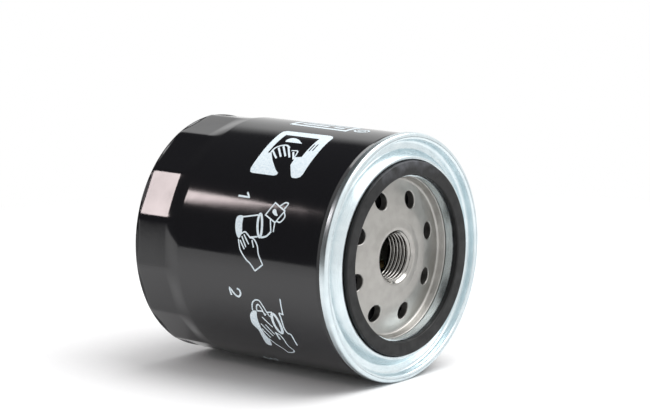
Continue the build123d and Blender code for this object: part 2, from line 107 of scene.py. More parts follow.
# Base plate
PLATE_THICKNESS = 3.0
PLATE_FACE_X = -0.07
PLATE_RADIUS = 42.99
DISH_DEPTH = 2.95
DISH_FOOT_RADIUS = 29.2
DISH_MOUTH_RADIUS = 30.2
DISH_PROFILE = ((14.2, -0.57), (18.6, -0.85), (26.4, -2.75), (29.2, -2.95))
DISH_SOFTNESS = 1.0
HUB_RADIUS = 12.6
HUB_NOSE_RADIUS = 11.6
HUB_FLAT_RADIUS = 14.2
HUB_LENGTH = 11.0
INLET_COUNT = 8
INLET_RADIUS = 3.2
INLET_EDGE = 0.45
INLET_PITCH_RADIUS = 22.5
INLET_FIRST_ANGLE = math.radians(62.2)
SECTOR_INNER_RADIUS = 17.6
SECTOR_OUTER_RADIUS = 27.4
SECTOR_COLUMNS = 32
SECTOR_ROWS = 12

# Thread, 3/4 inch with 16 turns to the inch
THREAD_RADIUS = 9.525
THREAD_CREST_RADIUS = 8.66
THREAD_PITCH = 1.5875
THREAD_MOUTH_RADIUS = 10.05

# Bypass coil spring
COIL_RADIUS = 5.2
COIL_WIRE = 0.45
COIL_TURNS = 4
COIL_STEPS = 240
COIL_END_TURN = 0.1
COIL_END_RISE = 0.3
WIRE_SIDES = 14

# Printed pictures
INK_HEIGHT = 0.03
INK_STEP = 0.9
THIN = 0.55
WIDE = 0.75
BLACK_HEIGHT = INK_HEIGHT + 0.02


# ---------------------------------------------------------------- meshes


def rounded(corners, radii, closed=False):
    """Points of a line through the corners, each corner turned with its own radius."""
    points = []
    for index, corner in enumerate(corners):
        here = Vector(corner)
        if not radii[index]:
            points.append(here)
            continue
        to_last = Vector(corners[index - 1]) - here
        to_next = Vector(corners[(index + 1) % len(corners)]) - here
        turn = math.pi - to_last.angle(to_next)
        reach = radii[index] * math.tan(turn / 2)
        start = here + to_last.normalized() * reach
        end = here + to_next.normalized() * reach
        across = (to_last.normalized() + to_next.normalized()).normalized()
        centre = here + across * (radii[index] / math.cos(turn / 2))
        support = 0.3 * radii[index]
        if to_last.length > reach + 3 * support:
            points.append(start + to_last.normalized() * support)
        steps = max(2, math.ceil(turn / ARC_STEP))
        first = (start - centre).normalized()
        last = (end - centre).normalized()
        for step in range(steps + 1):
            points.append(centre + first.slerp(last, step / steps) * radii[index])
        if to_next.length > reach + 3 * support:
            points.append(end + to_next.normalized() * support)
    return [(point.x, point.y) for point in points]


def sheet_outline(centre_line, bends, sheet):
    """Closed outline of a bent sheet from its middle line and its bend radii."""
    corners = [Vector(corner) for corner in centre_line]
    runs = [(end - start).normalized() for start, end in zip(corners, corners[1:])]
    outline = []
    for side in (1, -1):
        face = []
        radii = [0]
        for index, corner in enumerate(corners):
            before = runs[max(index - 1, 0)]
            after = runs[min(index, len(runs) - 1)]
            square = Vector((-before.y - after.y, before.x + after.x))
            face.append(corner + square * (side * sheet / square.dot(square)))
            if 0 < index < len(corners) - 1:
                turn = before.x * after.y - before.y * after.x
                radii.append(bends[index - 1] - side * math.copysign(sheet / 2, turn))
        points = rounded(face, radii + [0])
        outline += points if side == 1 else points[::-1]
    return outline


def bands(row_count, columns, closed):
    """Faces between neighbouring rows of points, each row closed on itself."""
    faces = []
    for row in range(row_count if closed else row_count - 1):
        below = row * columns
        above = (row + 1) % row_count * columns
        for column in range(columns):
            beside = (column + 1) % columns
            faces.append((below + column, below + beside, above + beside, above + column))
    return faces


def turned(outline, columns=COLUMNS, start=0.0, closed=True, shape=None):
    """Vertices and faces of a line of (x, radius) points turned about the axis."""
    vertices = []
    for x, radius in outline:
        for column in range(columns):
            angle = start + 2 * math.pi * column / columns
            at_x, at_radius = shape(x, radius, angle) if shape else (x, radius)
            vertices.append((at_x, at_radius * math.cos(angle), at_radius * math.sin(angle)))
    return vertices, bands(len(outline), columns, closed)


def make_piece(name, parts, material, sharp=None):
    """Joins lists of vertices and faces into one object, in metres, with even normals."""
    vertices = []
    faces = []
    for part_vertices, part_faces in parts:
        offset = len(vertices)
        vertices += [Vector(vertex) * MM for vertex in part_vertices]
        faces += [[offset + corner for corner in face] for face in part_faces]
    mesh = bpy.data.meshes.new(name)
    mesh.from_pydata(vertices, [], faces)
    work = bmesh.new()
    work.from_mesh(mesh)
    bmesh.ops.remove_doubles(work, verts=work.verts, dist=0.0005 * MM)
    bmesh.ops.dissolve_degenerate(work, edges=work.edges, dist=0.0005 * MM)
    bmesh.ops.recalc_face_normals(work, faces=work.faces)
    work.to_mesh(mesh)
    work.free()
    mesh.polygons.foreach_set("use_smooth", [True] * len(mesh.polygons))
    if sharp:
        mesh.set_sharp_from_angle(angle=math.radians(sharp))
    mesh.materials.append(material)
    piece = bpy.data.objects.new(name, mesh)
    bpy.context.scene.collection.objects.link(piece)
    return piece


# ---------------------------------------------------------------- materials


def linear(hex_colour):
    """Linear RGBA of an sRGB hex colour."""
    channels = [int(hex_colour[place : place + 2], 16) / 255 for place in (1, 3, 5)]
    return [c / 12.92 if c <= 0.04045 else ((c + 0.055) / 1.055) ** 2.4 for c in channels] + [1]


def add(tree, kind, settings):
    """Adds a node. A setting is a property, a ramp's stops or a socket, and a socket is linked."""
    node = tree.nodes.new(kind)
    for key, value in settings.items():
        if key == "stops":
            for element, (position, hex_colour) in zip(node.color_ramp.elements, value):
                element.position = position
                element.color = linear(hex_colour)
        elif isinstance(key, str) and key not in node.inputs:
            setattr(node, key, value)
        elif isinstance(value, bpy.types.NodeSocket):
            tree.links.new(value, node.inputs[key])
        else:
            node.inputs[key].default_value = value
    return node


def start_material(name):
    """An empty node material and its object coordinates, which are metres in the row frame."""
    material = bpy.data.materials.new(name)
    material.use_nodes = True
    material.node_tree.nodes.clear()
    place = add(material.node_tree, "ShaderNodeTexCoord", {}).outputs["Object"]
    return material, material.node_tree, place


def finish_material(tree, shader):
    add(tree, "ShaderNodeOutputMaterial", {"Surface": shader.outputs[0]})


def turned_coordinates(tree, place):
    """Coordinates along the axis, out from it and round it, in metres."""
    axes = add(tree, "ShaderNodeSeparateXYZ", {0: place}).outputs
    y_squared = add(tree, "ShaderNodeMath", {"operation": "MULTIPLY", 0: axes[1], 1: axes[1]})
    both = add(
        tree,
        "ShaderNodeMath",
        {"operation": "MULTIPLY_ADD", 0: axes[2], 1: axes[2], 2: y_squared.outputs[0]},
    )
    out = add(tree, "ShaderNodeMath", {"operation": "SQRT", 0: both.outputs[0]})
    turn = add(tree, "ShaderNodeMath", {"operation": "ARCTAN2", 0: axes[2], 1: axes[1]})
    round_it = add(
        tree, "ShaderNodeMath", {"operation": "MULTIPLY", 0: turn.outputs[0], 1: CAN_RADIUS * MM}
    )
    return add(
        tree,
        "ShaderNodeCombineXYZ",
        {0: axes[0], 1: out.outputs[0], 2: round_it.outputs[0]},
    ).outputs[0]


def per_size(millimetres):
    """Noise scale that gives features of that size."""
    return 1 / (millimetres * MM)


# Baked black enamel sprayed on drawn sheet steel: deep gloss with a slight orange peel
enamel, tree, place = start_material("baked_black_enamel")
peel = add(
    tree, "ShaderNodeTexNoise", {"Vector": place, "Scale": per_size(1.8), "Detail": 1.0}
).outputs["Fac"]
peel_bump = add(
    tree,
    "ShaderNodeBump",
    {"Height": peel, "Strength": 0.5, "Distance": 0.006 * MM},
).outputs["Normal"]
handling = add(
    tree, "ShaderNodeTexNoise", {"Vector": place, "Scale": per_size(14), "Detail": 6.0}
).outputs["Fac"]
enamel_roughness = add(
    tree,
    "ShaderNodeMapRange",
    {"Value": handling, "From Min": 0.3, "From Max": 0.7, "To Min": 0.07, "To Max": 0.14},
).outputs[0]
shader = add(
    tree,
    "ShaderNodeBsdfPrincipled",
    {
        "Base Color": linear("#151518"),
        "Roughness": enamel_roughness,
        "IOR": 1.6,
        "Normal": peel_bump,
    },
)
finish_material(tree, shader)

# Screen-printed white epoxy ink: flat, slightly bluish and a little thin in places
ink, tree, place = start_material("screen_printed_white_ink")
cover = add(
    tree, "ShaderNodeTexNoise", {"Vector": place, "Scale": per_size(0.5), "Detail": 4.0}
).outputs["Fac"]
ink_colour = add(
    tree,
    "ShaderNodeValToRGB",
    {"Fac": cover, "stops": ((0.3, "#C9DBE6"), (0.6, "#E9F3F8"))},
)
shader = add(
    tree,
    "ShaderNodeBsdfPrincipled",
    {"Base Color": ink_colour.outputs[0], "Roughness": 0.45, "IOR": 1.5},
)
finish_material(tree, shader)

# Bright zinc plate on cold-rolled sheet: bluish, with fine rolling lines and seaming marks
zinc, tree, place = start_material("bright_zinc_plate")
grain_place = add(
    tree, "ShaderNodeMapping", {"Vector": place, "Scale": (1.0, 0.06, 1.0)}
).outputs[0]
grain = add(
    tree, "ShaderNodeTexNoise", {"Vector": grain_place, "Scale": per_size(0.12), "Detail": 3.0}
).outputs["Fac"]
turned_place = turned_coordinates(tree, place)
scratch_place = add(
    tree, "ShaderNodeMapping", {"Vector": turned_place, "Scale": (1.0, 1.0, 0.02)}
).outputs[0]
scratches = add(
    tree, "ShaderNodeTexNoise", {"Vector": scratch_place, "Scale": per_size(0.15), "Detail": 4.0}
).outputs["Fac"]
marks = add(
    tree, "ShaderNodeMath", {"operation": "ADD", 0: grain, 1: scratches}
).outputs[0]
zinc_bump = add(
    tree, "ShaderNodeBump", {"Height": marks, "Strength": 0.25, "Distance": 0.003 * MM}
).outputs["Normal"]
bloom = add(
    tree, "ShaderNodeTexNoise", {"Vector": place, "Scale": per_size(5), "Detail": 5.0}
).outputs["Fac"]
zinc_colour = add(
    tree,
    "ShaderNodeValToRGB",
    {"Fac": bloom, "stops": ((0.35, "#D0DCE0"), (0.65, "#DDE7EA"))},
)
zinc_roughness = add(
    tree,
    "ShaderNodeMapRange",
    {"Value": marks, "From Min": 0.7, "From Max": 1.3, "To Min": 0.22, "To Max": 0.38},
).outputs[0]
shader = add(
    tree,
    "ShaderNodeBsdfPrincipled",
    {
        "Base Color": zinc_colour.outputs[0],
        "Metallic": 1.0,
        "Roughness": zinc_roughness,
        "Normal": zinc_bump,
    },
)
finish_material(tree, shader)

# Pressed low-carbon steel with a film of rust-proofing oil: grey satin with die marks, and
# brighter where the thread was cut
plate_steel, tree, place = start_material("oiled_pressed_steel")
turned_place = turned_coordinates(tree, place)
die_place = add(
    tree, "ShaderNodeMapping", {"Vector": turned_place, "Scale": (1.0, 1.0, 0.05)}
).outputs[0]
die_marks = add(
    tree, "ShaderNodeTexNoise", {"Vector": die_place, "Scale": per_size(0.3), "Detail": 4.0}
).outputs["Fac"]
pits = add(
    tree, "ShaderNodeTexNoise", {"Vector": place, "Scale": per_size(0.35), "Detail": 5.0}
).outputs["Fac"]
plate_height = add(
    tree, "ShaderNodeMath", {"operation": "MULTIPLY_ADD", 0: pits, 1: 0.8, 2: die_marks}
).outputs[0]
plate_bump = add(
    tree, "ShaderNodeBump", {"Height": plate_height, "Strength": 0.5, "Distance": 0.012 * MM}
).outputs["Normal"]
oil_film = add(
    tree, "ShaderNodeTexNoise", {"Vector": place, "Scale": per_size(4), "Detail": 6.0}
).outputs["Fac"]
plate_colour = add(
    tree,
    "ShaderNodeValToRGB",
    {"Fac": oil_film, "stops": ((0.35, "#A19F9B"), (0.65, "#ADABA7"))},
)
plate_roughness = add(
    tree,
    "ShaderNodeMapRange",
    {"Value": oil_film, "From Min": 0.3, "From Max": 0.7, "To Min": 0.34, "To Max": 0.46},
).outputs[0]
from_axis = add(tree, "ShaderNodeSeparateXYZ", {0: turned_place}).outputs[1]
tapped = add(
    tree,
    "ShaderNodeMapRange",
    {
        "Value": from_axis,
        "From Min": THREAD_MOUTH_RADIUS * MM,
        "From Max": HUB_NOSE_RADIUS * MM,
        "To Min": 0.16,
        "To Max": 0.5,
    },
).outputs[0]
tapped_roughness = add(
    tree, "ShaderNodeMath", {"operation": "MINIMUM", 0: plate_roughness, 1: tapped}
).outputs[0]
shader = add(
    tree,
    "ShaderNodeBsdfPrincipled",
    {
        "Base Color": plate_colour.outputs[0],
        "Metallic": 1.0,
        "Roughness": tapped_roughness,
        "Normal": plate_bump,
    },
)
finish_material(tree, shader)

# Moulded nitrile rubber dusted with talc: near black and dull, with a painted highlight that
# lightens the talc along its upper arc
nitrile, tree, place = start_material("talced_nitrile_painted_top_highlight")
talc = add(
    tree, "ShaderNodeTexNoise", {"Vector": place, "Scale": per_size(3.5), "Detail": 8.0}
).outputs["Fac"]
height = add(tree, "ShaderNodeSeparateXYZ", {0: place}).outputs[2]
# painted highlight: the talc tone is raised towards the top of the ring, where light from above
# falls
painted_top_highlight = add(
    tree,
    "ShaderNodeMapRange",
    {"Value": height, "From Min": 22 * MM, "From Max": 36 * MM, "To Min": 0.15, "To Max": 1.0},
).outputs[0]
talc_and_painted_highlight = add(tree, "ShaderNodeMath", {"operation": "MULTIPLY", 0: talc, 1: painted_top_highlight}).outputs[0]
# the light stop is talc grey, made stronger on the upper arc as a painted highlight
nitrile_colour = add(
    tree,
    "ShaderNodeValToRGB",
    {"Fac": talc_and_painted_highlight, "stops": ((0.3, "#08090A"), (0.72, "#56575C"))},
)
skin = add(
    tree, "ShaderNodeTexNoise", {"Vector": place, "Scale": per_size(0.25), "Detail": 3.0}
).outputs["Fac"]
nitrile_bump = add(
    tree, "ShaderNodeBump", {"Height": skin, "Strength": 0.5, "Distance": 0.02 * MM}
).outputs["Normal"]
nitrile_roughness = add(
    tree,
    "ShaderNodeMapRange",
    {"Value": talc, "From Min": 0.35, "From Max": 0.65, "To Min": 0.42, "To Max": 0.62},
).outputs[0]
shader = add(
    tree,
    "ShaderNodeBsdfPrincipled",
    {
        "Base Color": nitrile_colour.outputs[0],
        "Roughness": nitrile_roughness,
        "Specular IOR Level": 0.38,
        "Normal": nitrile_bump,
    },
)
finish_material(tree, shader)

# Oily nitrile rubber of the valve inside: black, smooth and wetter than the gasket
valve_rubber, tree, place = start_material("oily_nitrile_rubber")
film = add(
    tree, "ShaderNodeTexNoise", {"Vector": place, "Scale": per_size(2), "Detail": 4.0}
).outputs["Fac"]
valve_bump = add(
    tree, "ShaderNodeBump", {"Height": film, "Strength": 0.4, "Distance": 0.03 * MM}
).outputs["Normal"]
valve_roughness = add(
    tree,
    "ShaderNodeMapRange",
    {"Value": film, "From Min": 0.3, "From Max": 0.7, "To Min": 0.3, "To Max": 0.5},
).outputs[0]
shader = add(
    tree,
    "ShaderNodeBsdfPrincipled",
    {
        "Base Color": linear("#17181A"),
        "Roughness": valve_roughness,
        "IOR": 1.52,
        "Normal": valve_bump,
    },
)
finish_material(tree, shader)

# Tinned sheet steel of the caps, tube, clip and cage: bright, soft grey, faint rolling lines
tinplate, tree, place = start_material("tinned_sheet_steel")
rolling_place = add(
    tree, "ShaderNodeMapping", {"Vector": place, "Scale": (1.0, 1.0, 0.05)}
).outputs[0]
rolling = add(
    tree, "ShaderNodeTexNoise", {"Vector": rolling_place, "Scale": per_size(0.2), "Detail": 3.0}
).outputs["Fac"]
tin_bump = add(
    tree, "ShaderNodeBump", {"Height": rolling, "Strength": 0.3, "Distance": 0.005 * MM}
).outputs["Normal"]
tin_roughness = add(
    tree,
    "ShaderNodeMapRange",
    {"Value": rolling, "From Min": 0.3, "From Max": 0.7, "To Min": 0.24, "To Max": 0.4},
).outputs[0]
tin_colour = add(
    tree,
    "ShaderNodeValToRGB",
    {"Fac": rolling, "stops": ((0.0, "#B9B9B4"), (1.0, "#D2D2CE"))},
)
shader = add(
    tree,
    "ShaderNodeBsdfPrincipled",
    {
        "Base Color": tin_colour.outputs[0],
        "Metallic": 1.0,
        "Roughness": tin_roughness,
        "Normal": tin_bump,
    },
)
finish_material(tree, shader)

# Oil-tempered spring steel: dark bluish grey with an oily sheen and drawing lines
spring_steel, tree, place = start_material("oil_tempered_spring_steel")
scale_film = add(
    tree, "ShaderNodeTexNoise", {"Vector": place, "Scale": per_size(1.2), "Detail": 5.0}
).outputs["Fac"]
spring_colour = add(
    tree,
    "ShaderNodeValToRGB",
    {"Fac": scale_film, "stops": ((0.0, "#4A4C52"), (1.0, "#77797E"))},
)
spring_roughness = add(
    tree,
    "ShaderNodeMapRange",
    {"Value": scale_film, "From Min": 0.3, "From Max": 0.7, "To Min": 0.25, "To Max": 0.45},
).outputs[0]
shader = add(
    tree,
    "ShaderNodeBsdfPrincipled",
    {"Base Color": spring_colour.outputs[0], "Metallic": 1.0, "Roughness": spring_roughness},
)
finish_material(tree, shader)

# Cured plastisol that bonds the paper to its caps: cream, smooth, slightly waxy
plastisol, tree, place = start_material("cured_plastisol")
skin = add(
    tree, "ShaderNodeTexNoise", {"Vector": place, "Scale": per_size(2.5), "Detail": 3.0}
).outputs["Fac"]
skin_bump = add(
    tree, "ShaderNodeBump", {"Height": skin, "Strength": 0.5, "Distance": 0.08 * MM}
).outputs["Normal"]
bond_colour = add(
    tree,
    "ShaderNodeValToRGB",
    {"Fac": skin, "stops": ((0.0, "#CFC2A4"), (1.0, "#E0D6BD"))},
)
shader = add(
    tree,
    "ShaderNodeBsdfPrincipled",
    {"Base Color": bond_colour.outputs[0], "Roughness": 0.45, "Normal": skin_bump},
)
finish_material(tree, shader)

# Cellulose filter paper stiffened with phenolic resin: yellow-brown with short fibres
paper, tree, place = start_material("resin_treated_filter_paper")
fibre_place = add(
    tree, "ShaderNodeMapping", {"Vector": place, "Scale": (0.3, 1.0, 1.0)}
).outputs[0]
fibres = add(
    tree, "ShaderNodeTexNoise", {"Vector": fibre_place, "Scale": per_size(0.25), "Detail": 6.0}
).outputs["Fac"]
paper_colour = add(
    tree,
    "ShaderNodeValToRGB",
    {"Fac": fibres, "stops": ((0.0, "#C9A968"), (1.0, "#E6CD94"))},
)
paper_bump = add(
    tree, "ShaderNodeBump", {"Height": fibres, "Strength": 0.7, "Distance": 0.05 * MM}
).outputs["Normal"]
shader = add(
    tree,
    "ShaderNodeBsdfPrincipled",
    {"Base Color": paper_colour.outputs[0], "Roughness": 0.85, "Normal": paper_bump},
)
finish_material(tree, shader)

# Cured seam-sealing compound: buff, rubbery, only just seen inside the seam
compound, tree, place = start_material("cured_seam_compound")
grit = add(
    tree, "ShaderNodeTexNoise", {"Vector": place, "Scale": per_size(0.3), "Detail": 4.0}
).outputs["Fac"]
compound_colour = add(
    tree,
    "ShaderNodeValToRGB",
    {"Fac": grit, "stops": ((0.0, "#8C8470"), (1.0, "#A69E88"))},
)
shader = add(
    tree,
    "ShaderNodeBsdfPrincipled",
    {"Base Color": compound_colour.outputs[0], "Roughness": 0.6},
)
finish_material(tree, shader)

# ---------------------------------------------------------------- can


def flat_wall(x, angle):
    """Radius of the can's wall, where wrench flats are pressed in and fade out at both ends."""
    pitch = 2 * math.pi / FLAT_COUNT
    middle = (angle - FLAT_FIRST_CORNER) % pitch - pitch / 2
    planes = [CAN_RADIUS]
    planes += [FLAT_APOTHEM / math.cos(middle + shift * pitch) for shift in (-1, 0, 1)]
    lowest = min(planes)
    total = sum(math.exp((lowest - plane) / FLAT_BLEND) for plane in planes)
    flat = lowest - FLAT_BLEND * math.log(total)
    rise = min(1.0, max(0.0, (x - FLAT_RIM_X) / (FLAT_BACK_X - FLAT_RIM_X)))
    fall = min(1.0, max(0.0, (FLAT_FRONT_X + FLAT_RUNOUT - x) / FLAT_RUNOUT))
    pressed = rise * rise * (3 - 2 * rise) * fall * (0.6 + 0.4 * fall * (3 - 2 * fall))
    return CAN_RADIUS - pressed * (CAN_RADIUS - flat)


def can_rows():
    """Rows down the can: x, depth below the wall or None, radius or None, and outward x and r."""
    rows = [(NECK_LIP_X, None, NECK_RADIUS, 0, 1)]
    neck = rounded(
        [
            (NECK_LIP_X, NECK_RADIUS),
            (NECK_END_X, NECK_RADIUS),
            (NECK_START_X, CAN_RADIUS),
            (-12, CAN_RADIUS),
        ],
        [0, 0.35, 0.45, 0],
    )
    rows += [(x, None, radius, 0, 1) for x, radius in neck[1:-1]]
    for x in (-4, -12, -20, -28, -36, -44, -52, -60, -65, -67):
        rows.append((x, 0, None, 0, 1))
    runout_rows = 24
    for step in range(runout_rows + 1):
        rows.append((FLAT_FRONT_X + FLAT_RUNOUT * (1 - step / runout_rows), 0, None, 0, 1))
    for x in (-75, -78, -81, -84, -86.4):
        rows.append((x, 0, None, 0, 1))
    bend_rows = 22
    slope = math.atan2(CAN_CROWN, CAN_RADIUS - CAN_CROWN_RADIUS)
    for step in range(bend_rows + 1):
        turn = (math.pi / 2 - slope) * step / bend_rows
        x = CAN_END_X + CAN_END_BEND * (1 - math.sin(turn))
        rows.append((x, CAN_END_BEND * (1 - math.cos(turn)), None, -math.sin(turn), math.cos(turn)))
    crown = rounded(
        [
            (CAN_END_X, CAN_RADIUS),
            (CAN_END_X - CAN_CROWN, CAN_CROWN_RADIUS),
            (CAN_END_X - CAN_CROWN, 0),
        ],
        [0, 60, 0],
    )
    for x, radius in crown[1:]:
        if radius < CROWN_START_RADIUS:
            rows.append((x, None, radius, -1, 0))
    return rows


def can_vertex(row, angle, depth):
    x, inset, radius, outward_x, outward_radius = row
    at_radius = radius if inset is None else flat_wall(x, angle) - inset
    if radius == 0:
        outward_radius = 0
    return x - depth * outward_x, at_radius - depth * outward_radius


rows = can_rows()
vertices = []
for depth, side in ((0, rows), (CAN_SHEET, rows[::-1])):
    for row in side:
        for column in range(COLUMNS):
            angle = FLAT_FIRST_CORNER + 2 * math.pi * column / COLUMNS
            x, radius = can_vertex(row, angle, depth)
            vertices.append((x, radius * math.cos(angle), radius * math.sin(angle)))
faces = bands(2 * len(rows), COLUMNS, closed=True)
# the outer and inner crowns each end at their own middle point and aren't joined there
del faces[(len(rows) - 1) * COLUMNS : len(rows) * COLUMNS]
can_shell = make_piece("can_shell", [(vertices, faces)], enamel)
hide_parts("can")
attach(can_shell, "filter_body")

# ---------------------------------------------------------------- seaming lid and gasket


def kinked_lip(x, radius, angle):
    """Small dents that press the gasket's inner lip inwards where it was staked."""
    if radius > GASKET_INNER_RADIUS + 0.2 or x < KINK_FOOT_X:
        return x, radius
    dent = 0.0
    for kink in LIP_KINKS:
        away = (math.degrees(angle) - kink + 180) % 360 - 180
        dent += KINK_DEPTH * math.exp(-((away / KINK_SPREAD) ** 2))
    return x, radius - dent * min(1.0, (x - KINK_FOOT_X) / KINK_RISE)


seam_outer_radius = SEAM_RADIUS - LID_SHEET / 2
rim_mid_radius = GROOVE_WALL_RADIUS + RIM_WIDTH
lid_outline = sheet_outline(
    [
        (HOOK_TOP_X, LID_HOOK_RADIUS),
        (SEAM_BACK_X + LID_SHEET / 2, LID_HOOK_RADIUS),
        (SEAM_BACK_X + LID_SHEET / 2, seam_outer_radius),
        (SEAM_FRONT_X - LID_SHEET / 2, seam_outer_radius),
        (SEAM_FRONT_X - LID_SHEET / 2, CHUCK_RADIUS),
        (LID_FLOOR_X, CHUCK_RADIUS),
        (LID_FLOOR_X, rim_mid_radius + RIM_SKIRT),
        (RIM_TOP_X - LID_SHEET / 2, rim_mid_radius),
        (RIM_TOP_X - LID_SHEET / 2, GROOVE_WALL_RADIUS),
        (LID_FLOOR_X, GROOVE_WALL_RADIUS),
        (LID_FLOOR_X, LIP_RADIUS),
        (LIP_TOP_X, LIP_RADIUS),
    ],
    [0.38, 0.38, 1.0, 0.7, 1.6, 0.9, 0.38, 0.38, 0.45, 0.45],
    LID_SHEET,
)
lid_skin = make_piece("lid_skin", [turned(lid_outline, shape=kinked_lip)], zinc, sharp=50)
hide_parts("seaming_lid")
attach(lid_skin, "filter_body")

gasket_outline = rounded(
    [
        (GASKET_BACK_X, GASKET_INNER_RADIUS),
        (GASKET_FACE_X, GASKET_INNER_RADIUS),
        (GASKET_FACE_X, GASKET_OUTER_RADIUS),
        (GASKET_BACK_X, GASKET_OUTER_RADIUS),
    ],
    [GASKET_EDGE] * 4,
)
gasket_ring = make_piece("gasket_ring", [turned(gasket_outline)], nitrile)
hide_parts("sealing_gasket")
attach(gasket_ring, "filter_body")

# ---------------------------------------------------------------- base plate


def dish_x(radius):
    """Place of the dish's face at a radius, its two bends softened."""
    total = 0.0
    for shift in (-1, -0.5, 0, 0.5, 1):
        at = radius + shift * DISH_SOFTNESS
        inner, outer = DISH_PROFILE[0], DISH_PROFILE[1]
        for start, end in zip(DISH_PROFILE[1:], DISH_PROFILE[2:]):
            if at > start[0]:
                inner, outer = start, end
        total += inner[1] + (at - inner[0]) / (outer[0] - inner[0]) * (outer[1] - inner[1])
    return total / 5


def thread_wall(x, radius, angle):
    """Radius of the threaded bore: rounded 60 degree turns, opened by a cone at each mouth."""
    phase = (x / THREAD_PITCH - angle / (2 * math.pi)) % 1.0
    from_root = abs(phase - 0.5) * 2
    rise = min(1.0, max(0.0, (from_root - 0.12) / 0.66))
    rise = rise * rise * (3 - 2 * rise) * 0.5 + rise * 0.5
    cut = THREAD_RADIUS - (THREAD_RADIUS - THREAD_CREST_RADIUS) * rise
    front_cone = THREAD_MOUTH_RADIUS + x
    back_cone = THREAD_MOUTH_RADIUS - (x + HUB_LENGTH)
    return x, max(cut, front_cone, back_cone)


plate_columns = INLET_COUNT * SECTOR_COLUMNS
plate_start = INLET_FIRST_ANGLE - math.pi / INLET_COUNT
inner_front_x = dish_x(SECTOR_INNER_RADIUS)
outer_front_x = dish_x(SECTOR_OUTER_RADIUS)
hub_flat_x = dish_x(HUB_FLAT_RADIUS)
hub_front = rounded(
    [
        (inner_front_x, SECTOR_INNER_RADIUS),
        (hub_flat_x, HUB_FLAT_RADIUS),
        (0, HUB_NOSE_RADIUS - 0.2),
        (0, THREAD_MOUTH_RADIUS),
    ],
    [0, 2.5, 2.0, 0],
)
hub_back = rounded(
    [
        (-HUB_LENGTH, THREAD_MOUTH_RADIUS),
        (-HUB_LENGTH, HUB_RADIUS),
        (hub_flat_x - PLATE_THICKNESS, HUB_RADIUS),
        (hub_flat_x - PLATE_THICKNESS, HUB_FLAT_RADIUS),
        (inner_front_x - PLATE_THICKNESS, SECTOR_INNER_RADIUS),
    ],
    [0, 0.4, 0.5, 0.3, 0],
)
bore_rows = 112
bore = [(-HUB_LENGTH * row / bore_rows, THREAD_MOUTH_RADIUS) for row in range(bore_rows + 1)]
rim = rounded(
    [
        (outer_front_x, SECTOR_OUTER_RADIUS),
        (-DISH_DEPTH, DISH_FOOT_RADIUS),
        (PLATE_FACE_X, DISH_MOUTH_RADIUS),
        (PLATE_FACE_X, PLATE_RADIUS),
        (PLATE_FACE_X - PLATE_THICKNESS, PLATE_RADIUS),
        (PLATE_FACE_X - PLATE_THICKNESS, DISH_MOUTH_RADIUS + 2.4),
        (-DISH_DEPTH - PLATE_THICKNESS, DISH_FOOT_RADIUS + 2.4),
        (-DISH_DEPTH - PLATE_THICKNESS, DISH_FOOT_RADIUS),
        (outer_front_x - PLATE_THICKNESS, SECTOR_OUTER_RADIUS),
    ],
    [0, 0.9, 0.4, 0.3, 0.3, 1.0, 1.0, 0.5, 0],
)


def sector_edge(centre_angle):
    """Points round one inlet hole's share of the dish, as (radius, angle)."""
    half = math.pi / INLET_COUNT
    reach = SECTOR_OUTER_RADIUS - SECTOR_INNER_RADIUS
    points = []
    for step in range(SECTOR_COLUMNS):
        points.append((SECTOR_INNER_RADIUS, centre_angle - half + 2 * half * step / SECTOR_COLUMNS))
    for step in range(SECTOR_ROWS):
        points.append((SECTOR_INNER_RADIUS + reach * step / SECTOR_ROWS, centre_angle + half))
    for step in range(SECTOR_COLUMNS):
        points.append((SECTOR_OUTER_RADIUS, centre_angle + half - 2 * half * step / SECTOR_COLUMNS))
    for step in range(SECTOR_ROWS):
        points.append((SECTOR_OUTER_RADIUS - reach * step / SECTOR_ROWS, centre_angle - half))
    return points


def inlet_sector(centre_angle):
    """Front face, hole and back face of the dish round one inlet hole."""
    centre = Vector((math.cos(centre_angle), math.sin(centre_angle))) * INLET_PITCH_RADIUS
    edge = [
        Vector((radius * math.cos(angle), radius * math.sin(angle)))
        for radius, angle in sector_edge(centre_angle)
    ]
    rings = []
    for share in (1.0, 0.7, 0.42, 0.2, 0.06, 0.0):
        rings.append((share, INLET_RADIUS + INLET_EDGE, 0.0))
    for step in range(1, 7):
        turn = math.pi / 2 * step / 6
        eased_radius = INLET_RADIUS + INLET_EDGE * (1 - math.sin(turn))
        rings.append((0.0, eased_radius, INLET_EDGE * (1 - math.cos(turn))))
    rings.append((0.0, INLET_RADIUS, INLET_EDGE + 0.15))
    rings.append((0.0, INLET_RADIUS, PLATE_THICKNESS - 0.15))
    rings.append((0.0, INLET_RADIUS + 0.04, PLATE_THICKNESS))
    for share in (0.06, 0.3, 0.65, 1.0):
        rings.append((share, INLET_RADIUS + 0.04, PLATE_THICKNESS))
    vertices = []
    for share, hole_radius, depth in rings:
        for outer in edge:
            hole_point = centre + (outer - centre).normalized() * hole_radius
            point = hole_point.lerp(outer, share)
            vertices.append((dish_x(point.length) - depth, point.x, point.y))
    return vertices, bands(len(rings), len(edge), closed=False)


plate_parts = [
    turned(hub_front, plate_columns, plate_start, closed=False),
    turned(bore, plate_columns, plate_start, closed=False, shape=thread_wall),
    turned(hub_back, plate_columns, plate_start, closed=False),
    turned(rim, plate_columns, plate_start, closed=False),
]
for index in range(INLET_COUNT):
    plate_parts.append(inlet_sector(INLET_FIRST_ANGLE + 2 * math.pi * index / INLET_COUNT))
threaded_plate = make_piece("threaded_plate", plate_parts, plate_steel, sharp=55)
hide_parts("base_plate")
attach(threaded_plate, "filter_body")

# ---------------------------------------------------------------- moving rubber and spring

